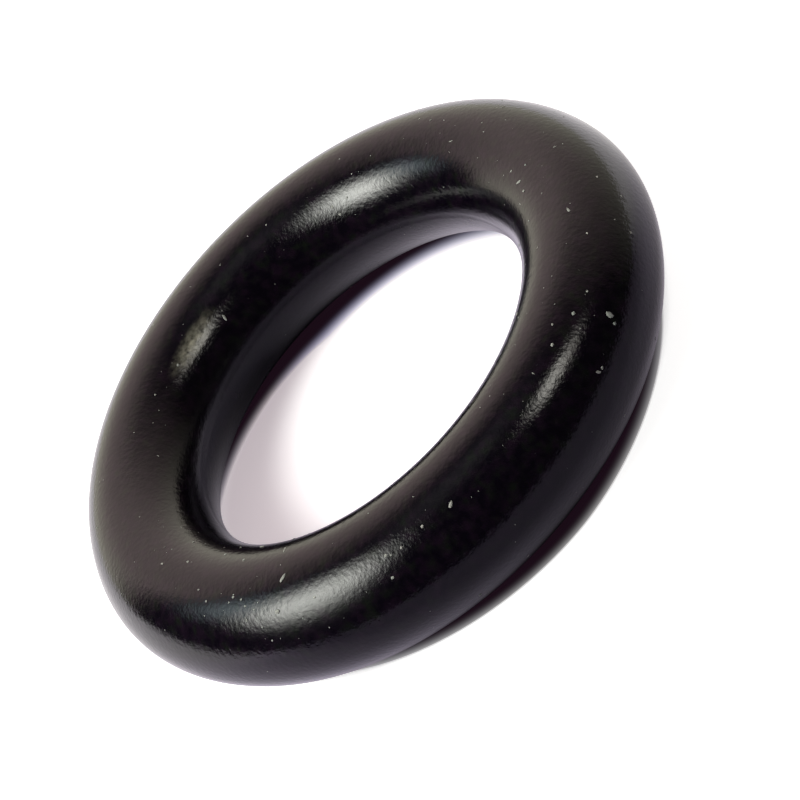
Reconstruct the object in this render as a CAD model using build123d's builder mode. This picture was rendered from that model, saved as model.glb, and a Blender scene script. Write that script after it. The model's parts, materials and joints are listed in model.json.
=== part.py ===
"""Fuel injector seal: one moulded rubber ring with a round section.

The ring is moulded in a groove cut half into each of two mould plates, which
close on each other at mid-height.  The rubber that creeps out between the
plates is trimmed back to a narrow land, once round the inside of the bore and
once round the outside.  Those two lands are the tightest and the widest places
on the ring, so they are what its groove and its pocket meet first.

Sizes are in millimetres.  +Z is the ring's axis.  The origin is the centre of
the bore on the parting plane, so the ring lies on its lower crown, half of
section_diameter below the origin.
"""

import os

from build123d import *

# Driving dimensions
bore_diameter = 9.0  # across the bore, before the land
section_diameter = 3.0  # across the moulded round, before the lands
land_height = 0.14  # axial height of each trimmed land
land_stand = 0.03  # how far each land is left proud of the round

# Worked out from them
section_centre_radius = (bore_diameter + section_diameter) / 2
land_to_land = section_diameter + 2 * land_stand
outer_diameter = bore_diameter + 2 * section_diameter

with BuildPart() as seal_ring:
    # The section stands on the XZ plane, centred on the parting plane.
    with BuildSketch(Plane.XZ):
        with Locations((section_centre_radius, 0)):
            # The moulded round, half from each plate.
            Circle(section_diameter / 2)
            # The trimmed flash, which shows only as the land on either side.
            Rectangle(land_to_land, land_height)
    revolve(axis=Axis.Z)

seal_ring.part.label = "seal_ring"
os.makedirs("parts", exist_ok=True)
export_step(seal_ring.part, "parts/seal_ring.step")
print(f"bore {bore_diameter:.2f} mm, outside {outer_diameter:.2f} mm, section {section_diameter:.2f} mm")
print(f"across the lands {bore_diameter - 2 * land_stand:.2f} and {outer_diameter + 2 * land_stand:.2f} mm")
print(f"volume {seal_ring.part.volume:.1f} cubic mm")
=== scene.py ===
"""Looks for the fuel injector seal: a satin black rubber ring on a pale floor.

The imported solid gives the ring's place and size.  This script models the ring
again as a fine mesh with its trimmed flash lands, lays dust on it, gives both
their finishes, and sets up the floor, the backdrop, the lamps and the camera.

Lengths are in metres and angles in degrees.  +Z is the ring's axis and the
origin is the centre of its bore.  The front is -Y, the left is -X and the right
is +X.  A place on the ring is given by two angles: the azimuth, anticlockwise
from +X seen from above, and the section angle, which is 0 at the outside, 90 at
the upper crown and 180 inside the bore.
"""

import json
import logging
import math
import random
from dataclasses import dataclass
from enum import Enum

import bmesh
import bpy
from mathutils import Matrix, Vector


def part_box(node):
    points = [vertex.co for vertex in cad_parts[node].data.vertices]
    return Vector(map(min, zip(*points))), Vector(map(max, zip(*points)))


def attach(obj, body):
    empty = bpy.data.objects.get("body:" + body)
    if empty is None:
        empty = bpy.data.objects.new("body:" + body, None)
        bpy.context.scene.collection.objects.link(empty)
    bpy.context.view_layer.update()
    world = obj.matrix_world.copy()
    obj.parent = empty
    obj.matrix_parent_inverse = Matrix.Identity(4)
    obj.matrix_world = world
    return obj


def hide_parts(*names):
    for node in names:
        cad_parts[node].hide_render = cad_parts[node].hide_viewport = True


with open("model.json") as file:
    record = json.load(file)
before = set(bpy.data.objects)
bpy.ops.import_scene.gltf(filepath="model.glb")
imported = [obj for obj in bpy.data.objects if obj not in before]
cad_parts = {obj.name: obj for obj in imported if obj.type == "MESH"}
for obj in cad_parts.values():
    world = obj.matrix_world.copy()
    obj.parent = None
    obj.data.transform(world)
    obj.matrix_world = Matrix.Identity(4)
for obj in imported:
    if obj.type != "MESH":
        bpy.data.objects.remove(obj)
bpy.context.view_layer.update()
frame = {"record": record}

Colour = tuple[float, float, float]
Point = tuple[float, float, float]
Span = tuple[float, float]
Socket = bpy.types.NodeSocket

MM = 0.001
BLACK: Colour = (0.0, 0.0, 0.0)
WHITE: Colour = (1.0, 1.0, 1.0)
NODE = "seal_ring"
BODY = "root"

log = logging.getLogger("seal")


def direction(azimuth: float, elevation: float) -> Vector:
    """Find the unit vector that points to an azimuth and to an elevation above the horizon."""
    a, e = math.radians(azimuth), math.radians(elevation)
    return Vector((math.cos(e) * math.cos(a), math.cos(e) * math.sin(a), math.sin(e)))


def deselect_all() -> None:
    """Clear the selection, so that an operator acts only on what follows."""
    bpy.ops.object.select_all(action="DESELECT")


class Ray(Enum):
    """The kinds of ray that a finish tells apart, each with its output on a Light Path node."""

    CAMERA = "Is Camera Ray"
    GLOSSY = "Is Glossy Ray"
    TRANSMISSION = "Is Transmission Ray"


@dataclass(frozen=True)
class Blotches:
    """A pattern of soft blotches, with clear ground between them.

    Attributes:
        size: The size of the blotches.
        span: The noise at which a blotch starts and is full.
        detail: How many finer layers the noise has.
    """

    size: float
    span: Span
    detail: float


class Nodes:
    """A node tree, with short ways to add and join nodes."""

    def __init__(self, tree: bpy.types.NodeTree) -> None:
        """Start on an empty tree."""
        self.tree = tree
        self.tree.nodes.clear()

    def add(self, kind: str, **settings: object) -> bpy.types.Node:
        """Add a node.

        Args:
            kind: The node's type, such as "ShaderNodeMath".
            **settings: Attributes to set on it.

        Returns:
            The new node.
        """
        node = self.tree.nodes.new(kind)
        for key, value in settings.items():
            setattr(node, key, value)
        return node

    def join(self, source: Socket, target: Socket) -> None:
        """Link one node's output to another node's input."""
        self.tree.links.new(source, target)

    def maths(self, operation: str, *values: float | Socket) -> Socket:
        """Add a Math node.

        Args:
            operation: The operation's name, such as "MULTIPLY".
            *values: Its inputs, each a number or another node's output.

        Returns:
            The node's output.
        """
        node = self.add("ShaderNodeMath", operation=operation)
        for socket, value in zip(node.inputs, values):
            if isinstance(value, (int, float)):
                socket.default_value = value
            else:
                self.join(value, socket)
        return node.outputs[0]

    def opposite(self, share: Socket) -> Socket:
        """Turn a share round, so that 0 becomes 1 and 1 becomes 0."""
        return self.maths("SUBTRACT", 1.0, share)

    def ray(self, kind: Ray) -> Socket:
        """Give 1 for one kind of ray and 0 for the others."""
        return self.add("ShaderNodeLightPath").outputs[kind.value]

    def shows_background(self) -> Socket:
        """Give 1 for the rays to which a background is white: the camera's, also through glass."""
        return self.maths("MAXIMUM", self.ray(Ray.CAMERA), self.ray(Ray.TRANSMISSION))

    def ramp(self, value: Socket, span: Span, smooth: bool = False) -> Socket:
        """Rise from 0 to 1 as a value goes across a span.

        Args:
            value: The value to read.
            span: Where the result is 0, and where it is 1.
            smooth: Whether the ends are eased.

        Returns:
            The result, held between 0 and 1.
        """
        easing = "SMOOTHSTEP" if smooth else "LINEAR"
        node = self.add("ShaderNodeMapRange", interpolation_type=easing)
        node.inputs["From Min"].default_value, node.inputs["From Max"].default_value = span
        self.join(value, node.inputs["Value"])
        return node.outputs["Result"]

    def noise(self, vector: Socket, size: float, detail: float) -> Socket:
        """Add a Noise node.

        Args:
            vector: Where the noise is read, in metres.
            size: The size of its blotches, in metres.
            detail: How many finer layers it has.

        Returns:
            The noise's value, around 0.5.
        """
        node = self.add("ShaderNodeTexNoise")
        node.inputs["Scale"].default_value = 1.0 / size
        node.inputs["Detail"].default_value = detail
        self.join(vector, node.inputs["Vector"])
        return node.outputs["Fac"]

    def blotches(self, vector: Socket, pattern: Blotches) -> Socket:
        """Give 1 on the blotches of a pattern and 0 between them."""
        return self.ramp(self.noise(vector, pattern.size, pattern.detail), pattern.span)

    def blend(self, share: Socket, first: Colour | Socket, second: Colour | Socket) -> Socket:
        """Mix two colours.

        Args:
            share: How much of the second is taken, from 0 to 1.
            first: A colour, or a node's output.
            second: A colour, or a node's output.

        Returns:
            The mixed colour.
        """
        node = self.add("ShaderNodeMix", data_type="RGBA")
        self.join(share, node.inputs[0])
        for socket, value in ((node.inputs[6], first), (node.inputs[7], second)):
            if isinstance(value, tuple):
                socket.default_value = (*value, 1.0)
            else:
                self.join(value, socket)
        return node.outputs[2]

    def bump(self, height: Socket, depth: float, under: Socket | None = None) -> Socket:
        """Turn a height into a bumped normal.

        Args:
            height: The height, from 0 to 1.
            depth: How deep the relief is, in metres.
            under: A normal that is already bumped, if any.

        Returns:
            The bumped normal.
        """
        node = self.add("ShaderNodeBump")
        node.inputs["Distance"].default_value = depth
        self.join(height, node.inputs["Height"])
        if under is not None:
            self.join(under, node.inputs["Normal"])
        return node.outputs[0]


class Shader(Nodes):
    """A material's node tree, with the place of each point in the object's own space."""

    def __init__(self, name: str) -> None:
        """Start an empty material.

        Args:
            name: The material's name.
        """
        self.material = bpy.data.materials.new(name)
        self.material.use_nodes = True
        super().__init__(self.material.node_tree)
        self.place = self.add("ShaderNodeTexCoord").outputs["Object"]

    def parts(self) -> tuple[Socket, Socket, Socket]:
        """Split the place into its parts.

        Returns:
            Its X, Y and Z.
        """
        node = self.add("ShaderNodeSeparateXYZ")
        self.join(self.place, node.inputs[0])
        return tuple(node.outputs)

    def radius(self, x: Socket, y: Socket) -> Socket:
        """Find the distance from the Z axis."""
        squares = self.maths("ADD", self.maths("MULTIPLY", x, x), self.maths("MULTIPLY", y, y))
        return self.maths("SQRT", squares)

    def surface(self, shader: Socket) -> bpy.types.Material:
        """Join a shader to the material's output and return the material."""
        self.join(shader, self.add("ShaderNodeOutputMaterial").inputs["Surface"])
        return self.material


@dataclass(frozen=True)
class RoundForm:
    """The moulded round: a circle swept about the ring's axis.

    Attributes:
        centre_radius: The ring's radius, to the middle of its section.
        section_radius: The radius of its section.
    """

    centre_radius: float
    section_radius: float

    def point(self, azimuth: float, section: float) -> Vector:
        """Find a point on the round.

        Args:
            azimuth: Its place round the ring.
            section: Its section angle.

        Returns:
            The point.
        """
        angle = math.radians(section)
        radius = self.centre_radius + self.section_radius * math.cos(angle)
        height = self.section_radius * math.sin(angle)
        return Matrix.Rotation(math.radians(azimuth), 3, "Z") @ Vector((radius, 0, height))


@dataclass(frozen=True)
class Rub:
    """A rubbed place on the ring's skin, longer along the ring than across it. It adds roughness, and
    can lay a pale painted highlight on the rubber.

    Attributes:
        azimuth: Its place round the ring.
        section: Its section angle.
        length: How far it reaches along the ring.
        width: How far it reaches across.
        roughness: The roughness it adds.
        painted_highlight: How much pale painted highlight it lays on, from 0 to 1.
    """

    azimuth: float
    section: float
    length: float
    width: float
    roughness: float
    painted_highlight: float = 0.0


@dataclass(frozen=True)
class MouldedRubber:
    """Satin black moulded rubber with a fine grain, hairline scratches, rubs, a pale painted
    highlight on one rub, and a film of dust.

    Attributes:
        form: The round that it covers.
        dark: The bare rubber's colour.
        filmed: Its colour under a film of dust.
        film: The film's blotches.
        greenish: Its colour where the film has a green cast.
        cast: The cast's blotches.
        speck: The colour of the finest dust, which is too small to model.
        speck_spacing: How far apart its specks may lie.
        speck_share: The share of those places that have one.
        speck_size: The largest speck, over their spacing.
        painted_highlight_colour: The pale colour of the painted highlight laid on a rub.
        mottle: The mottling of that painted highlight.
        roughness: Its roughness.
        patch_size: The size of the duller and glossier patches.
        patch_detail: How many finer layers they have.
        patch_roughness: How much the roughness varies from patch to patch.
        bore_roughness: The roughness that is added in the bore.
        bore_lean: How much further down the bore's dull part starts than it ends.
        bore_span: Where that part starts and is full, over the section's radius.
        index: Its refractive index.
        grain_size: The size of its grain.
        grain_detail: How many finer layers the grain has.
        grain_depth: The depth of its grain.
        scratch_length: The length of its hairline scratches.
        scratch_azimuth: Their direction.
        scratches: The blotches that are drawn out into them, as wide as they are.
        scratch_depth: Their depth.
        rubs: The rubbed places.
    """

    form: RoundForm
    dark: Colour = (0.0014, 0.0005, 0.0026)
    filmed: Colour = (0.0072, 0.0030, 0.0080)
    film: Blotches = Blotches(0.24 * MM, (0.4, 0.7), 4)
    greenish: Colour = (0.0045, 0.0062, 0.0040)
    cast: Blotches = Blotches(0.28 * MM, (0.45, 0.65), 2)
    speck: Colour = (0.16, 0.17, 0.15)
    speck_spacing: float = 0.22 * MM
    speck_share: float = 0.2
    speck_size: float = 0.07
    painted_highlight_colour: Colour = (0.27, 0.255, 0.2)
    mottle: Blotches = Blotches(0.12 * MM, (0.24, 0.74), 3)
    roughness: float = 0.14
    patch_size: float = 0.6 * MM
    patch_detail: float = 3
    patch_roughness: float = 0.08
    bore_roughness: float = 0.12
    bore_lean: float = 0.6
    bore_span: Span = (0.62, 0.95)
    index: float = 1.42
    grain_size: float = 0.10 * MM
    grain_detail: float = 3
    grain_depth: float = 0.0062 * MM
    scratch_length: float = 0.5 * MM
    scratch_azimuth: float = 55.0
    scratches: Blotches = Blotches(0.035 * MM, (0.5, 0.75), 1)
    scratch_depth: float = 0.0006 * MM
    rubs: tuple[Rub, ...] = (
        # This rub lays a pale painted highlight where a lamp's highlight falls, to widen and brighten
        # it.
        Rub(azimuth=115, section=131, length=1.15 * MM, width=0.31 * MM, roughness=0.02, painted_highlight=1.0),
        Rub(azimuth=236, section=46, length=2.6 * MM, width=0.9 * MM, roughness=0.16),
    )

    def material(self) -> bpy.types.Material:
        """Build the finish.

        Returns:
            Its material.
        """
        shader = Shader("moulded_rubber")
        rubber = shader.add("ShaderNodeBsdfPrincipled")
        rubber.inputs["IOR"].default_value = self.index
        painted_highlight, rough = self.rubbed(shader)
        shader.join(self.colour(shader, painted_highlight), rubber.inputs["Base Color"])
        dull = shader.maths("ADD", self.dullness(shader), rough)
        shader.join(dull, rubber.inputs["Roughness"])
        shader.join(self.relief(shader), rubber.inputs["Normal"])
        return shader.surface(rubber.outputs["BSDF"])

    def colour(self, shader: Shader, painted_highlight: Socket) -> Socket:
        """Lay the film, the pale painted highlight and the finest dust over the bare rubber.

        Args:
            shader: The material's node tree.
            painted_highlight: How much of the pale painted highlight is laid on.

        Returns:
            The colour.
        """
        cast = shader.blend(shader.blotches(shader.place, self.cast), self.filmed, self.greenish)
        filmed = shader.blend(shader.blotches(shader.place, self.film), self.dark, cast)
        # Painted highlight: a pale colour laid over the rubber on the rubbed place.
        highlighted = shader.blend(painted_highlight, filmed, self.painted_highlight_colour)
        return shader.blend(self.specks(shader), highlighted, self.speck)

    def specks(self, shader: Shader) -> Socket:
        """Scatter the finest dust.

        Args:
            shader: The material's node tree.

        Returns:
            1 on a speck and 0 between specks.
        """
        cells = shader.add("ShaderNodeTexVoronoi")
        cells.inputs["Scale"].default_value = 1 / self.speck_spacing
        shader.join(shader.place, cells.inputs["Vector"])
        chance = shader.add("ShaderNodeSeparateColor")
        shader.join(cells.outputs["Color"], chance.inputs[0])
        kept = shader.maths("GREATER_THAN", chance.outputs[0], 1 - self.speck_share)
        size = shader.maths("MULTIPLY", chance.outputs[1], self.speck_size)
        near = shader.maths("LESS_THAN", cells.outputs["Distance"], size)
        return shader.maths("MULTIPLY", kept, near)

    def dullness(self, shader: Shader) -> Socket:
        """Vary the gloss in patches, and dull it in the bore.

        Args:
            shader: The material's node tree.

        Returns:
            The roughness.
        """
        patches = shader.noise(shader.place, self.patch_size, self.patch_detail)
        even = self.roughness - self.patch_roughness / 2
        even = shader.maths("MULTIPLY_ADD", patches, self.patch_roughness, even)
        x, y, z = shader.parts()
        inward = shader.maths("SUBTRACT", self.form.centre_radius, shader.radius(x, y))
        inward = shader.maths("MULTIPLY_ADD", z, -self.bore_lean, inward)
        share = shader.maths("DIVIDE", inward, self.form.section_radius)
        bore = shader.ramp(share, self.bore_span)
        return shader.maths("MULTIPLY_ADD", bore, self.bore_roughness, even)

    def rubbed(self, shader: Shader) -> tuple[Socket, Socket]:
        """Mark the rubbed places, with the pale painted highlight that one of them lays on.

        Args:
            shader: The material's node tree.

        Returns:
            How much painted highlight is laid on, mottled, and the roughness gained.
        """
        painted_highlight: float | Socket = 0.0
        rough: float | Socket = 0.0
        for rub in self.rubs:
            mark = self.mark(shader, rub)
            painted_highlight = shader.maths("MULTIPLY_ADD", mark, rub.painted_highlight, painted_highlight)
            rough = shader.maths("MULTIPLY_ADD", mark, rub.roughness, rough)
        mottle = shader.blotches(shader.place, self.mottle)
        return shader.maths("MULTIPLY", painted_highlight, mottle), rough

    def mark(self, shader: Shader, rub: Rub) -> Socket:
        """Find how strongly one rubbed place is marked.

        Args:
            shader: The material's node tree.
            rub: The rubbed place.

        Returns:
            1 in its middle, and 0 from its edge outwards.
        """
        near = shader.add("ShaderNodeMapping", vector_type="TEXTURE")
        near.inputs["Location"].default_value = self.form.point(rub.azimuth, rub.section)
        near.inputs["Rotation"].default_value = (0, 0, math.radians(rub.azimuth))
        near.inputs["Scale"].default_value = (rub.width, rub.length, rub.width)
        shader.join(shader.place, near.inputs["Vector"])
        reach = shader.add("ShaderNodeVectorMath", operation="LENGTH")
        shader.join(near.outputs[0], reach.inputs[0])
        return shader.ramp(reach.outputs["Value"], (1.0, 0.0), smooth=True)

    def relief(self, shader: Shader) -> Socket:
        """Roughen the skin with grain and hairline scratches.

        Args:
            shader: The material's node tree.

        Returns:
            The bumped normal.
        """
        turned = shader.add("ShaderNodeMapping", vector_type="TEXTURE")
        turned.inputs["Rotation"].default_value = (0, 0, math.radians(self.scratch_azimuth))
        turned.inputs["Scale"].default_value = (self.scratch_length / self.scratches.size, 1, 1)
        shader.join(shader.place, turned.inputs["Vector"])
        grain = shader.noise(shader.place, self.grain_size, self.grain_detail)
        hairs = shader.blotches(turned.outputs["Vector"], self.scratches)
        return shader.bump(hairs, self.scratch_depth, shader.bump(grain, self.grain_depth))


class Land(Enum):
    """The two trimmed flash lands, each with the way it stands out from the section."""

    RIM = 1
    BORE = -1


@dataclass
class SealRing:
    """The ring itself: a round section with a trimmed land inside and outside.

    Attributes:
        form: Its moulded round.
        land_height: The height of each land.
        land_stand: How far each land stands out of the section.
        shoulder: How far the land's shoulders run into the round.
        witness_step: How deep the witness line in the bore is.
        section_points: How many points its section has.
        turn_steps: How many steps it has round its axis.
        merge_distance: The distance within which its two ends are joined.
    """

    form: RoundForm
    land_height: float
    land_stand: float
    shoulder: float = 0.8 * MM
    witness_step: float = 0.011 * MM
    section_points: int = 160
    turn_steps: int = 256
    merge_distance: float = 0.001 * MM

    def build(self) -> bpy.types.Object:
        """Shape the section with its lands, and spin it round the axis.

        Returns:
            The ring's object.
        """
        deselect_all()
        bpy.ops.mesh.primitive_circle_add(
            vertices=self.section_points,
            radius=self.form.section_radius,
            location=(self.form.centre_radius, 0, 0),
            rotation=(math.pi / 2, 0, 0),
        )
        ring = bpy.context.object
        ring.name = "ring"
        bpy.ops.object.transform_apply(location=True, rotation=True, scale=True)
        bpy.ops.object.mode_set(mode="EDIT")
        bpy.ops.mesh.select_mode(type="VERT")
        for land in Land:
            self.raise_land(ring, land)
        self.mark_witness_line(ring)
        bpy.ops.mesh.select_all(action="SELECT")
        bpy.ops.mesh.spin(steps=self.turn_steps, angle=2 * math.pi, center=(0, 0, 0), axis=(0, 0, 1))
        bpy.ops.mesh.select_all(action="SELECT")
        bpy.ops.mesh.remove_doubles(threshold=self.merge_distance)
        bpy.ops.mesh.normals_make_consistent(inside=False)
        bpy.ops.object.mode_set(mode="OBJECT")
        bpy.ops.object.shade_smooth()
        return ring

    def raise_land(self, ring: bpy.types.Object, land: Land) -> None:
        """Draw a land out of the section, with shoulders that run into the round.

        Args:
            ring: The section's circle, in edit mode.
            land: Which of the two lands it is.
        """
        bpy.ops.mesh.select_all(action="DESELECT")
        mesh = bmesh.from_edit_mesh(ring.data)
        for vert in mesh.verts:
            outward = land.value * (vert.co.x - self.form.centre_radius)
            vert.select = outward > 0 and abs(vert.co.z) < self.land_height / 2
        bmesh.update_edit_mesh(ring.data)
        bpy.ops.transform.translate(
            value=(land.value * self.land_stand, 0, 0),
            use_proportional_edit=True,
            proportional_edit_falloff="SMOOTH",
            proportional_size=self.shoulder,
        )

    def mark_witness_line(self, ring: bpy.types.Object) -> None:
        """Sink the fine line that the mould's edge leaves above the land in the bore.

        Args:
            ring: The section's circle, in edit mode.
        """
        bpy.ops.mesh.select_all(action="DESELECT")
        mesh = bmesh.from_edit_mesh(ring.data)
        bore = [vert for vert in mesh.verts if vert.co.x < self.form.centre_radius]
        above = [vert for vert in bore if vert.co.z > self.land_height / 2]
        min(above, key=lambda vert: vert.co.z).select = True
        bmesh.update_edit_mesh(ring.data)
        bpy.ops.transform.translate(value=(self.witness_step, 0, 0), use_proportional_edit=False)

    def dress(self, ring: bpy.types.Object) -> None:
        """Give the ring its finish and its place in the frame.

        Args:
            ring: The ring's object.
        """
        ring.data.materials.append(MouldedRubber(self.form).material())
        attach(ring, BODY)
        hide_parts(NODE)


@dataclass(frozen=True)
class Speck:
    """One grain of dust on the ring.

    Attributes:
        azimuth: Its place round the ring.
        section: Its section angle.
        size: Its width, in millimetres.
        stretch: Its length over its width.
        turn: The direction of its length, anticlockwise from the way round the ring.
    """

    azimuth: float
    section: float
    size: float
    stretch: float = 1.0
    turn: float = 0.0


@dataclass(frozen=True)
class PaleDust:
    """Matt dust, some of it darker and some lighter.

    Attributes:
        grey: The colour of the darker dust.
        pale: The colour of the lighter dust.
        tint_size: How far apart dark and light dust lie.
        tint_detail: How many finer layers that pattern has.
        roughness: The dust's roughness.
    """

    grey: Colour = (0.16, 0.2, 0.18)
    pale: Colour = (0.4, 0.37, 0.34)
    tint_size: float = 0.4 * MM
    tint_detail: float = 2
    roughness: float = 0.8

    def material(self) -> bpy.types.Material:
        """Build the finish.

        Returns:
            Its material.
        """
        shader = Shader("pale_dust")
        matt = shader.add("ShaderNodeBsdfPrincipled")
        matt.inputs["Roughness"].default_value = self.roughness
        lightness = shader.noise(shader.place, self.tint_size, self.tint_detail)
        shader.join(shader.blend(lightness, self.grey, self.pale), matt.inputs["Base Color"])
        return shader.surface(matt.outputs["BSDF"])


@dataclass
class Dust:
    """Pale dust on the ring: the specks that stand out, and many finer ones.

    Attributes:
        form: The round that it lies on.
        jitter: How uneven a grain is, over its width.
        flattening: The length, the width and the height that a round grain is pressed to.
        smooth_angle: The angle up to which its faces are shaded as one.
        fine_specks: How many fine specks there are.
        fine_sections: The section angles between which they lie.
        fine_size: The usual size of a fine speck, in millimetres.
        fine_spread: How much their sizes vary, as the deviation of their logarithm.
        fine_largest: The size of the largest, in millimetres.
        fine_stretch: How many widths are added to the longest.
        fine_rarity: The power that makes the long ones rare.
        seed: The seed of their places.
        plain: The specks that stand out.
    """

    form: RoundForm
    jitter: float = 0.12
    flattening: Point = (1.0, 0.85, 0.6)
    smooth_angle: float = 30.0
    fine_specks: int = 320
    fine_sections: Span = (-45.0, 150.0)
    fine_size: float = 0.022
    fine_spread: float = 0.45
    fine_largest: float = 0.06
    fine_stretch: float = 3.0
    fine_rarity: int = 4
    seed: int = 7
    plain: tuple[Speck, ...] = (
        Speck(307, 31, 0.15, 1.3, 70),
        Speck(305, 58, 0.10),
        Speck(306, 25, 0.09),
        Speck(302, 71, 0.06),
        Speck(298, 64, 0.09),
        Speck(298, 21, 0.08),
        Speck(297, 22, 0.08, 1.8, 120),
        Speck(293, 14, 0.05),
        Speck(295, -24, 0.07),
        Speck(323, 61, 0.06),
        Speck(325, 25, 0.07),
        Speck(310, 53, 0.06),
        Speck(330, 76, 0.07, 2.4, 20),
        Speck(338, 48, 0.06),
        Speck(335, 116, 0.06),
        Speck(349, 111, 0.07, 2.6, 60),
        Speck(345, 111, 0.08),
        Speck(265, 53, 0.09, 2.0, 30),
        Speck(259, 55, 0.08),
        Speck(251, 54, 0.09),
        Speck(254, 52, 0.07),
        Speck(250, 37, 0.08),
        Speck(258, -28, 0.09),
        Speck(230, 78, 0.10, 2.4, 50),
        Speck(228, 53, 0.12),
        Speck(225, 32, 0.05),
        Speck(218, 72, 0.07),
        Speck(211, 70, 0.06),
        Speck(208, 79, 0.05),
        Speck(209, 117, 0.07),
        Speck(217, 108, 0.07),
        Speck(200, 102, 0.07),
        Speck(193, 92, 0.07),
        Speck(104, 143, 0.08, 2.4, 70),
        Speck(122, 129, 0.08),
        Speck(132, 120, 0.06),
        Speck(60, 144, 0.08),
        Speck(218, 129, 0.08, 1.4, 10),
        Speck(307, 120, 0.07, 1.4, 0),
        Speck(217, 68, 0.05),
        Speck(218, 74, 0.04),
        Speck(220, 69, 0.05, 1.6, 40),
        Speck(221, 63, 0.06),
        Speck(223, 59, 0.05),
        Speck(224, 64, 0.04),
        Speck(221, 52, 0.05, 1.5, 80),
        Speck(228, 52, 0.08),
        Speck(224, 44, 0.05),
        Speck(236, 53, 0.07),
        Speck(56, 134, 0.07),
        Speck(61, 135, 0.06, 1.8, 60),
        Speck(65, 133, 0.05),
    )

    def build(self) -> bpy.types.Object:
        """Model one grain, lay its copies on the ring and join them.

        Returns:
            The dust's object.
        """
        deselect_all()
        bpy.ops.mesh.primitive_ico_sphere_add(subdivisions=1, radius=0.5)
        grain = bpy.context.object
        bpy.ops.object.mode_set(mode="EDIT")
        bpy.ops.mesh.select_all(action="SELECT")
        bpy.ops.transform.vertex_random(offset=self.jitter, seed=self.seed)
        bpy.ops.transform.resize(value=self.flattening)
        bpy.ops.mesh.normals_make_consistent(inside=False)
        bpy.ops.object.mode_set(mode="OBJECT")
        grains = [self.lay(grain, speck) for speck in (*self.plain, *self.scattered())]
        bpy.data.objects.remove(grain)
        deselect_all()
        for piece in grains:
            piece.select_set(True)
        bpy.context.view_layer.objects.active = grains[0]
        bpy.ops.object.join()
        dust = bpy.context.object
        dust.name = "dust"
        bpy.ops.object.transform_apply(location=True, rotation=True, scale=True)
        bpy.ops.object.shade_smooth_by_angle(angle=math.radians(self.smooth_angle))
        return dust

    def scattered(self) -> list[Speck]:
        """Draw the fine specks at random, the same ones every time.

        Returns:
            The specks.
        """
        chance = random.Random(self.seed)
        return [
            Speck(
                azimuth=chance.uniform(0, 360),
                section=chance.uniform(*self.fine_sections),
                size=self.fine_grain(chance),
                stretch=1 + self.fine_stretch * chance.random() ** self.fine_rarity,
                turn=chance.uniform(0, 180),
            )
            for _ in range(self.fine_specks)
        ]

    def fine_grain(self, chance: random.Random) -> float:
        """Draw the size of a fine speck: most are small, and few are near the largest."""
        return min(self.fine_largest, self.fine_size * math.exp(chance.gauss(0, self.fine_spread)))

    def lay(self, grain: bpy.types.Object, speck: Speck) -> bpy.types.Object:
        """Copy the grain onto the ring.

        Args:
            grain: The grain, 1 m across and lying on its flat.
            speck: Where the copy goes, and its size.

        Returns:
            The copy.
        """
        copy = grain.copy()
        copy.data = grain.data.copy()
        bpy.context.scene.collection.objects.link(copy)
        size = speck.size * MM
        copy.matrix_world = (
            Matrix.Translation(self.form.point(speck.azimuth, speck.section))
            @ Matrix.Rotation(math.radians(speck.azimuth), 4, "Z")
            @ Matrix.Rotation(math.radians(90 - speck.section), 4, "Y")
            @ Matrix.Rotation(math.radians(90 + speck.turn), 4, "Z")
            @ Matrix.Diagonal((size * speck.stretch, size, size, 1))
        )
        return copy

    def dress(self, dust: bpy.types.Object) -> None:
        """Give the dust its finish and its place in the frame.

        Args:
            dust: The dust's object.
        """
        dust.data.materials.append(PaleDust().material())
        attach(dust, BODY)


@dataclass(frozen=True)
class FloorPlace:
    """Where a point of the floor lies, as values in its material.

    Attributes:
        x: Its place along X.
        y: Its place along Y.
        radius: Its distance from the ring's axis.
        outside: 0 inside the ring and 1 outside it.
        inside: 1 inside the ring and 0 outside it.
        left: 1 on the left inside the ring, and 0 elsewhere.
    """

    x: Socket
    y: Socket
    radius: Socket
    outside: Socket
    inside: Socket
    left: Socket


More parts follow.
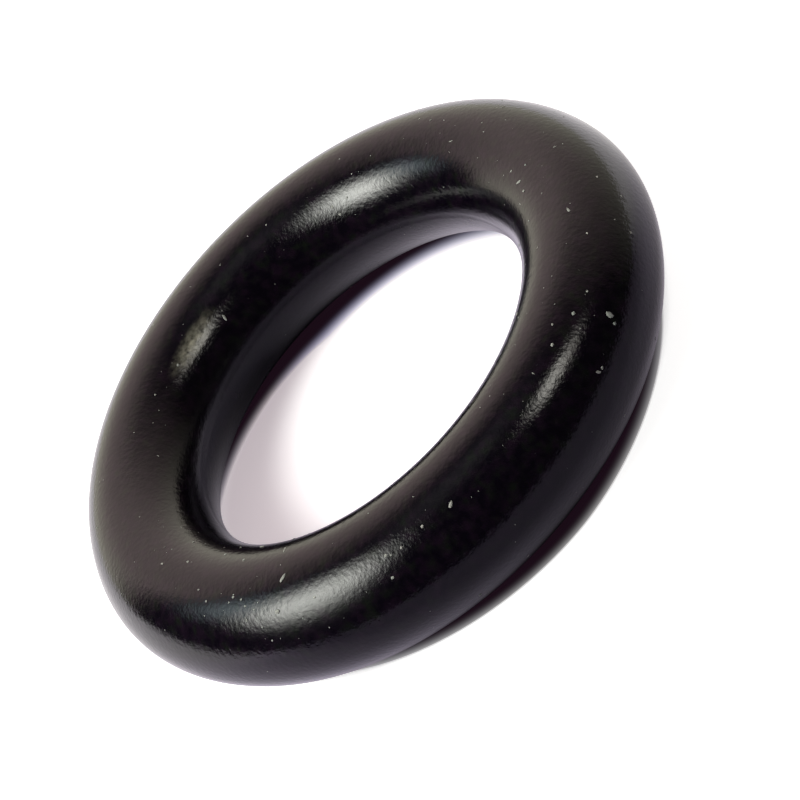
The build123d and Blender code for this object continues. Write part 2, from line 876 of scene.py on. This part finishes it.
@dataclass(frozen=True)
class PaintedContactShade:
    """The painted shade on both sides of the circle where the ring touches the floor, drawn from the
    distance to that circle.

    Attributes:
        span: Where it starts to clear and has cleared, from the contact.
        depth: The power that keeps it dark for longer.
        nearer_outside: How much nearer it clears outside the ring.
        taper: How much nearer it clears at the ring's left and right.
        taper_power: The power that keeps the taper to the left and the right.
        taper_lean: How far the taper outside leans to the right.
        rim_span: Where it starts to clear and has cleared outside, at the latest.
        left_gain: How much faster it clears on the left inside the ring.
    """

    span: Span = (0.78 * MM, 1.58 * MM)
    depth: float = 2.0
    nearer_outside: float = 0.1 * MM
    taper: float = 0.66 * MM
    taper_power: float = 1.5
    taper_lean: float = 0.14
    rim_span: Span = (1.15 * MM, 1.27 * MM)
    left_gain: float = 1.6

    def gap(self, shader: Shader, place: FloorPlace, contact: float) -> Socket:
        """Find the distance to the contact, as far as the painted shade goes by it.

        Args:
            shader: The material's node tree.
            place: Where the point lies.
            contact: The radius of the contact.

        Returns:
            The distance, made longer where the shade is narrower.
        """
        gap = shader.maths("ABSOLUTE", shader.maths("SUBTRACT", place.radius, contact))
        sideways = shader.maths("DIVIDE", place.x, place.radius)
        sideways = shader.maths("MULTIPLY_ADD", place.outside, -self.taper_lean, sideways)
        sideways = shader.maths("POWER", shader.maths("ABSOLUTE", sideways), self.taper_power)
        gap = shader.maths("MULTIPLY_ADD", sideways, self.taper, gap)
        return shader.maths("MULTIPLY_ADD", place.outside, self.nearer_outside, gap)

    def clearing(self, shader: Shader, place: FloorPlace, gap: Socket) -> Socket:
        """Find how far the floor has come out of the painted shade.

        Args:
            shader: The material's node tree.
            place: Where the point lies.
            gap: The distance to the contact.

        Returns:
            0 in the painted shade and 1 clear of it.
        """
        clear = shader.maths("POWER", shader.ramp(gap, self.span, smooth=True), self.depth)
        gain = shader.maths("MULTIPLY_ADD", place.left, self.left_gain, 1.0)
        clear = shader.maths("MULTIPLY", clear, gain)
        rim = shader.maths("MULTIPLY", shader.ramp(gap, self.rim_span, smooth=True), place.outside)
        return shader.maths("MINIMUM", shader.maths("MAXIMUM", clear, rim), 1.0)


@dataclass(frozen=True)
class GlowPatch:
    """A painted glow on part of the floor inside the ring, seen only in the ring's reflections.

    Attributes:
        level: Its brightness, where 1 is white.
        x_span: Where it starts and is full, along X.
        y_span: Where it starts and is full, along Y.
    """

    level: float
    x_span: Span
    y_span: Span


@dataclass(frozen=True)
class MirroredGlow:
    """A painted glow on the floor, seen only in the ring's reflections, brightest towards the back.

    Attributes:
        near_tint: Its colour in front of the ring.
        far_tint: Its colour behind the ring.
        tint_span: Where the one turns into the other, along Y.
        bore_tint: Its colour inside the ring.
        bright_azimuth: The side towards which it brightens.
        bright_span: Where it starts and is full, towards that side.
        patches: Its painted patches inside the ring, on the right and on the left.
        left_delay: How much later it comes out of the painted shade on the left.
    """

    near_tint: Colour = (0.98, 0.88, 1.05)
    far_tint: Colour = (1.0, 0.98, 0.92)
    tint_span: Span = (-6 * MM, 2 * MM)
    bore_tint: Colour = (1.0, 0.92, 1.03)
    bright_azimuth: float = 100.0
    bright_span: Span = (-9 * MM, 1 * MM)
    patches: tuple[GlowPatch, ...] = (
        GlowPatch(0.88, x_span=(-1 * MM, 3 * MM), y_span=(1 * MM, 3 * MM)),
        GlowPatch(0.4, x_span=(-0.9 * MM, -3.9 * MM), y_span=(5.2 * MM, 2.6 * MM)),
    )
    left_delay: float = 0.15 * MM

    def tint(self, shader: Shader, place: FloorPlace) -> Socket:
        """Find the painted glow's colour where a point of the floor lies."""
        tint = shader.blend(shader.ramp(place.y, self.tint_span), self.near_tint, self.far_tint)
        return shader.blend(place.outside, self.bore_tint, tint)

    def strength(self, shader: Shader, place: FloorPlace) -> Socket:
        """Find how bright the painted glow is where no painted shade dims it.

        Args:
            shader: The material's node tree.
            place: Where the point lies.

        Returns:
            The brightness, where 1 is white.
        """
        towards_bright = direction(self.bright_azimuth, 0)
        along = shader.maths("MULTIPLY", place.y, towards_bright.y)
        along = shader.maths("MULTIPLY_ADD", place.x, towards_bright.x, along)
        outer = shader.maths("MULTIPLY", shader.ramp(along, self.bright_span), place.outside)
        inner: float | Socket = 0.0
        for patch in self.patches:
            across, back = shader.ramp(place.x, patch.x_span), shader.ramp(place.y, patch.y_span)
            share = shader.maths("MULTIPLY", across, back)
            inner = shader.maths("MULTIPLY_ADD", share, patch.level, inner)
        return shader.maths("MULTIPLY_ADD", inner, place.inside, outer)

    def shaded(self, shader: Shader, place: FloorPlace, gap: Socket, span: Span) -> Socket:
        """Dim the painted glow in the ring's painted contact shade.

        Args:
            shader: The material's node tree.
            place: Where the point lies.
            gap: The distance to the contact.
            span: Where the painted shade starts to clear and has cleared.

        Returns:
            The brightness, where 1 is white.
        """
        later = shader.maths("MULTIPLY_ADD", place.left, -self.left_delay, gap)
        clear = shader.ramp(later, span, smooth=True)
        return shader.maths("MULTIPLY", clear, self.strength(shader, place))


@dataclass(frozen=True)
class PaleFloor:
    """A pale finish, white to the camera, with a painted shade round the ring's contact and a painted
    glow in the ring's reflections.

    Attributes:
        contact: The radius at which the ring touches the floor.
        crossing: How far inside and outside meet, to each side of the contact.
        left_span: Where the ring's left starts and is full, along X.
        shown: Its colour to the camera.
        mirrored: Its colour as the ring mirrors it.
        shaded: The dark colour of the painted contact shade, to the camera.
        fringe: A painted blue fringe at the edge of the painted shade inside the ring.
        lift_inside: The light added inside the ring, to the camera: less and more lavender than
            outside, which paints the lamps' shadow there deeper and lavender.
        lift_outside: The light added outside the ring, to the camera, which pales the lamps' shadow
            there.
        lift_far: The light added far from the ring, to the camera.
        far_span: Where the one turns into the other, from the ring's axis.
        shade: The painted contact shade.
        glow: The painted glow that the ring mirrors.
    """

    contact: float
    crossing: float = 1 * MM
    left_span: Span = (0.2 * MM, -1.8 * MM)
    shown: Colour = (0.95, 0.93, 0.96)
    mirrored: Colour = (0.28, 0.25, 0.35)
    shaded: Colour = (0.010, 0.004, 0.008)
    fringe: Colour = (0.14, 0.18, 0.50)
    lift_inside: Colour = (0.41, 0.355, 0.385)
    lift_outside: Colour = (0.82, 0.82, 0.82)
    lift_far: Colour = WHITE
    far_span: Span = (15 * MM, 30 * MM)
    shade: PaintedContactShade = PaintedContactShade()
    glow: MirroredGlow = MirroredGlow()

    def material(self) -> bpy.types.Material:
        """Build the finish, which answers to light and glows as well: to the camera with a painted
        contact shade, and to the ring's reflections with a painted glow.

        Returns:
            Its material.
        """
        shader = Shader("pale_floor")
        place = self.place(shader)
        gap = self.shade.gap(shader, place, self.contact)
        clear = self.shade.clearing(shader, place, gap)
        seen = shader.shows_background()
        matt = shader.add("ShaderNodeBsdfDiffuse")
        # Painted contact shade: the floor's colour to the camera goes to black near the contact.
        shown = shader.blend(clear, BLACK, self.shown)
        shader.join(shader.blend(seen, self.mirrored, shown), matt.inputs["Color"])
        lit = shader.add("ShaderNodeEmission")
        tint, lift = self.glow.tint(shader, place), self.lift(shader, place, clear)
        shader.join(shader.blend(seen, tint, lift), lit.inputs["Color"])
        # Painted glow: the floor glows to the ring's glossy rays only, dimmed in the painted contact
        # shade.
        glow = self.glow.shaded(shader, place, gap, self.shade.span)
        glow = shader.maths("MULTIPLY", glow, shader.ray(Ray.GLOSSY))
        shader.join(shader.maths("MAXIMUM", seen, glow), lit.inputs["Strength"])
        both = shader.add("ShaderNodeAddShader")
        shader.join(matt.outputs[0], both.inputs[0])
        shader.join(lit.outputs[0], both.inputs[1])
        return shader.surface(both.outputs[0])

    def place(self, shader: Shader) -> FloorPlace:
        """Find where a point of the floor lies.

        Args:
            shader: The material's node tree.

        Returns:
            Its place.
        """
        x, y, _ = shader.parts()
        radius = shader.radius(x, y)
        outside = shader.ramp(radius, (self.contact - self.crossing, self.contact + self.crossing))
        inside = shader.opposite(outside)
        left = shader.maths("MULTIPLY", shader.ramp(x, self.left_span), inside)
        return FloorPlace(x, y, radius, outside, inside, left)

    def lift(self, shader: Shader, place: FloorPlace, clear: Socket) -> Socket:
        """Find the light added to the floor that the camera sees, with the painted contact shade and
        its painted blue fringe.

        Args:
            shader: The material's node tree.
            place: Where the point lies.
            clear: 0 in the painted shade and 1 clear of it.

        Returns:
            The colour of the added light.
        """
        full = shader.blend(place.outside, self.lift_inside, self.lift_outside)
        # Painted shade: the added light turns to the dark shaded colour near the contact.
        lifted = shader.blend(clear, self.shaded, full)
        # A painted blue fringe at the shade's edge, inside the ring but not on its left.
        edge = shader.maths("MULTIPLY", clear, shader.opposite(clear))
        plain = shader.maths("MAXIMUM", place.outside, place.left)
        edge = shader.maths("MULTIPLY", edge, shader.opposite(plain))
        fringed = shader.blend(edge, lifted, self.fringe)
        return shader.blend(shader.ramp(place.radius, self.far_span), fringed, self.lift_far)


@dataclass
class Floor:
    """The floor that the ring lies on.

    Attributes:
        form: The ring's round, whose lower crown rests on it.
        side: Its length and width.
    """

    form: RoundForm
    side: float = 0.6

    def build(self) -> bpy.types.Object:
        """Lay the floor under the ring.

        Returns:
            The floor's object.
        """
        deselect_all()
        height = -self.form.section_radius
        bpy.ops.mesh.primitive_plane_add(size=self.side, location=(0, 0, height))
        floor = bpy.context.object
        floor.name = "floor"
        bpy.ops.object.transform_apply(location=True)
        floor.data.materials.append(PaleFloor(self.form.centre_radius).material())
        return floor


@dataclass(frozen=True)
class LitWall:
    """The backdrop's glow, which fades towards its ends and its top.

    Attributes:
        radius: How far the backdrop stands from the ring's axis.
        low_colour: The colour of its glow at its foot.
        high_colour: The colour of its glow further up.
        colour_span: The elevations between which the one turns into the other.
        radiance: The brightness of its glow, where 1 is white.
        right_span: The azimuths between which its right brightens.
        left_span: The azimuths between which its left brightens.
        top_span: The elevations between which its top brightens.
    """

    radius: float
    low_colour: Colour = (1.18, 1.14, 0.94)
    high_colour: Colour = (1.0, 0.81, 0.77)
    colour_span: Span = (2.0, 28.0)
    radiance: float = 1.1
    right_span: Span = (-12.0, 75.0)
    left_span: Span = (140.0, 121.0)
    top_span: Span = (70.0, 40.0)

    def material(self) -> bpy.types.Material:
        """Build the finish.

        Returns:
            Its material.
        """
        shader = Shader("lit_backdrop")
        x, y, z = shader.parts()
        azimuth = shader.maths("DEGREES", shader.maths("ARCTAN2", y, x))
        elevation = shader.maths("DEGREES", shader.maths("ARCTAN2", z, self.radius))
        right = shader.ramp(azimuth, self.right_span)
        left = shader.ramp(azimuth, self.left_span, smooth=True)
        across = shader.maths("MULTIPLY", right, left)
        share = shader.maths("MULTIPLY", across, shader.ramp(elevation, self.top_span))
        raised = shader.ramp(elevation, self.colour_span)
        glow = shader.add("ShaderNodeEmission")
        shader.join(shader.blend(raised, self.low_colour, self.high_colour), glow.inputs["Color"])
        shader.join(shader.maths("MULTIPLY", share, self.radiance), glow.inputs["Strength"])
        return shader.surface(glow.outputs[0])


@dataclass
class Backdrop:
    """A lit curved wall behind the ring, which ends in a soft upright edge on its left.

    Attributes:
        floor_height: The height of its foot.
        radius: How far it stands from the ring's axis.
        start: The azimuth of its right end.
        end: The azimuth of its left end.
        top: The elevation of its top.
        steps: How many steps its curve has.
    """

    floor_height: float
    radius: float = 0.12
    start: float = -10.0
    end: float = 140.0
    top: float = 68.0
    steps: int = 48

    def build(self) -> bpy.types.Object:
        """Draw an upright edge from a single point, and sweep it round the ring.

        Returns:
            The backdrop's object.
        """
        deselect_all()
        foot = direction(self.start, 0) * self.radius
        foot.z = self.floor_height
        rise = self.radius * math.tan(math.radians(self.top))
        bpy.ops.mesh.primitive_plane_add(size=self.radius)
        wall = bpy.context.object
        wall.name = "backdrop"
        bpy.ops.object.mode_set(mode="EDIT")
        bpy.ops.mesh.select_mode(type="VERT")
        bpy.ops.mesh.select_all(action="SELECT")
        bpy.ops.mesh.merge(type="CENTER")
        bpy.ops.transform.translate(value=foot)
        bpy.ops.mesh.extrude_region_move(TRANSFORM_OT_translate={"value": (0, 0, rise)})
        bpy.ops.mesh.select_all(action="SELECT")
        turn = math.radians(self.end - self.start)
        bpy.ops.mesh.spin(steps=self.steps, angle=turn, center=(0, 0, 0), axis=(0, 0, -1))
        bpy.ops.object.mode_set(mode="OBJECT")
        wall.data.materials.append(LitWall(self.radius).material())
        wall.visible_camera = False
        return wall


@dataclass
class SoftLamp:
    """A round soft lamp that faces the ring, brightest in its middle.

    Attributes:
        name: The lamp's name.
        azimuth: Where it hangs, round the ring.
        elevation: How high it hangs.
        spread: How far from its middle it has faded to 61%, as an angle seen from the ring.
        radiance: The brightness of its middle, where 1 is white.
        distance: How far it is from the ring.
        colour: Its colour.
        reach: How many spreads it is from its middle to its rim.
    """

    name: str
    azimuth: float
    elevation: float
    spread: float
    radiance: float
    distance: float = 0.2
    colour: Colour = WHITE
    reach: float = 2.6

    def build(self) -> bpy.types.Object:
        """Hang the lamp, with the power that gives its middle its brightness.

        Returns:
            The lamp's object.
        """
        lamp = bpy.data.lights.new(self.name, "AREA")
        lamp.shape = "DISK"
        lamp.size = 2 * self.distance * math.tan(math.radians(self.reach * self.spread))
        area = math.pi / 4 * lamp.size**2
        lamp.energy = self.radiance * area * math.pi
        lamp.color = self.colour
        self.fade(lamp)
        holder = bpy.data.objects.new(self.name, lamp)
        bpy.context.scene.collection.objects.link(holder)
        towards = direction(self.azimuth, self.elevation)
        holder.location = towards * self.distance
        holder.rotation_euler = towards.to_track_quat("Z", "Y").to_euler()
        holder.visible_camera = False
        return holder

    def fade(self, lamp: bpy.types.AreaLight) -> None:
        """Dim the lamp smoothly from its middle to its rim.

        Args:
            lamp: The lamp's light.
        """
        lamp.use_nodes = True
        nodes = Nodes(lamp.node_tree)
        across = nodes.add("ShaderNodeNewGeometry").outputs["Parametric"]
        middle = (0.5, 0.5, 0.0)
        from_middle = nodes.add("ShaderNodeVectorMath", operation="DISTANCE")
        nodes.join(across, from_middle.inputs[0])
        from_middle.inputs[1].default_value = middle
        spreads = nodes.maths("MULTIPLY", from_middle.outputs["Value"], 2 * self.reach)
        falloff = nodes.maths("MULTIPLY", nodes.maths("MULTIPLY", spreads, spreads), -0.5)
        glow = nodes.add("ShaderNodeEmission")
        nodes.join(nodes.maths("EXPONENT", falloff), glow.inputs["Strength"])
        nodes.join(glow.outputs[0], nodes.add("ShaderNodeOutputLight").inputs["Surface"])


@dataclass
class Room:
    """The dim room round the set: white to the camera, also through glass, and dark to all else.

    Attributes:
        dim: Its brightness to all else, where 1 is white.
    """

    dim: float = 0.03

    def build(self) -> bpy.types.World:
        """Make the world and give it to the scene.

        Returns:
            The world.
        """
        world = bpy.data.worlds.new("room")
        world.use_nodes = True
        nodes = Nodes(world.node_tree)
        sky = nodes.add("ShaderNodeBackground")
        sky.inputs["Color"].default_value = (*WHITE, 1.0)
        nodes.join(nodes.maths("MAXIMUM", nodes.shows_background(), self.dim), sky.inputs["Strength"])
        nodes.join(sky.outputs[0], nodes.add("ShaderNodeOutputWorld").inputs["Surface"])
        bpy.context.scene.world = world
        return world


@dataclass
class Viewpoint:
    """The camera, turned about its own axis as well as aimed.

    Attributes:
        azimuth: Where it stands, round the ring.
        elevation: How high it stands.
        roll: How far it is turned about its own axis.
        aim: The point it looks at.
        distance: How far it is from that point.
        lens: Its focal length, in millimetres.
        sensor: The width of its sensor, in millimetres.
        clip: The nearest and the furthest distance it sees.
    """

    azimuth: float = -90.25
    elevation: float = 35.17
    roll: float = -46.39
    aim: Point = (0.2296 * MM, -1.4352 * MM, 0.0)
    distance: float = 63.712 * MM
    lens: float = 132.72
    sensor: float = 36.0
    clip: Span = (1 * MM, 5.0)

    def build(self) -> bpy.types.Object:
        """Set up the camera and give it to the scene.

        Returns:
            The camera's object.
        """
        eye = bpy.data.cameras.new("camera")
        eye.lens = self.lens
        eye.sensor_width = self.sensor
        eye.clip_start, eye.clip_end = self.clip
        holder = bpy.data.objects.new("camera", eye)
        bpy.context.scene.collection.objects.link(holder)
        back = direction(self.azimuth, self.elevation)
        turn = back.to_track_quat("Z", "Y").to_matrix().to_4x4()
        roll = Matrix.Rotation(math.radians(self.roll), 4, "Z")
        stand = Vector(self.aim) + back * self.distance
        holder.matrix_world = Matrix.Translation(stand) @ turn @ roll
        bpy.context.scene.camera = holder
        return holder


LAMPS = (
    SoftLamp("key", azimuth=187, elevation=48.2, spread=9.5, radiance=21.5,
             distance=0.15, colour=(1.0, 1.02, 0.95)),
    SoftLamp("cool", azimuth=151, elevation=43, spread=6.5, radiance=2.4,
             distance=0.12, colour=(0.82, 1.0, 1.05)),
    SoftLamp("side", azimuth=322, elevation=53, spread=4.2, radiance=11.0,
             distance=0.06, colour=(1.0, 0.98, 0.9)),
    SoftLamp("low side", azimuth=337, elevation=49, spread=3.6, radiance=4.0,
             distance=0.3, colour=(1.0, 0.96, 0.88)),
    SoftLamp("overhead", azimuth=90, elevation=86, spread=10, radiance=0.3),
)


def packed_ring() -> SealRing:
    """Read the ring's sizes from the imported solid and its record.

    Returns:
        The ring, ready to build.
    """
    mounts = {mount["name"]: mount["dims"] for mount in frame["record"]["mounts"]}
    low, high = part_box(NODE)
    bore, rim = mounts["bore"]["r_mm"] * MM, mounts["rim"]["r_mm"] * MM
    form = RoundForm(centre_radius=(bore + rim) / 2, section_radius=(high.z - low.z) / 2)
    return SealRing(
        form=form,
        land_height=mounts["bore"]["length_mm"] * MM,
        land_stand=(rim - bore) / 2 - form.section_radius,
    )


def build_part(ring: SealRing) -> None:
    """Build and dress the ring and its dust.

    Args:
        ring: The ring, ready to build.
    """
    body = ring.build()
    ring.dress(body)
    section = 2 * ring.form.section_radius
    log.info("ring: %d faces, section %.2f mm", len(body.data.polygons), section / MM)
    dust = Dust(ring.form)
    grains = dust.build()
    dust.dress(grains)
    specks = len(dust.plain) + dust.fine_specks
    log.info("dust: %d faces, %d specks", len(grains.data.polygons), specks)


def build_set(form: RoundForm) -> None:
    """Build the floor, the backdrop, the lamps, the room and the camera.

    Args:
        form: The ring's round.
    """
    floor = Floor(form).build()
    log.info("floor: %.0f mm wide", floor.dimensions.x / MM)
    wall = Backdrop(floor_height=-form.section_radius).build()
    log.info("backdrop: %d faces", len(wall.data.polygons))
    for lamp in LAMPS:
        lamp.build()
        log.info("lamp: %s, at azimuth %g", lamp.name, lamp.azimuth)
    room = Room().build()
    log.info("world: %s", room.name)
    camera = Viewpoint().build()
    bpy.context.scene.view_settings.view_transform = "Standard"
    log.info("camera: %.0f mm from the ring's centre", camera.location.length / MM)


def main() -> None:
    """Build the ring and its surroundings in order."""
    logging.basicConfig(level=logging.INFO)
    ring = packed_ring()
    build_part(ring)
    build_set(ring.form)


if __name__ == "__main__":
    main()
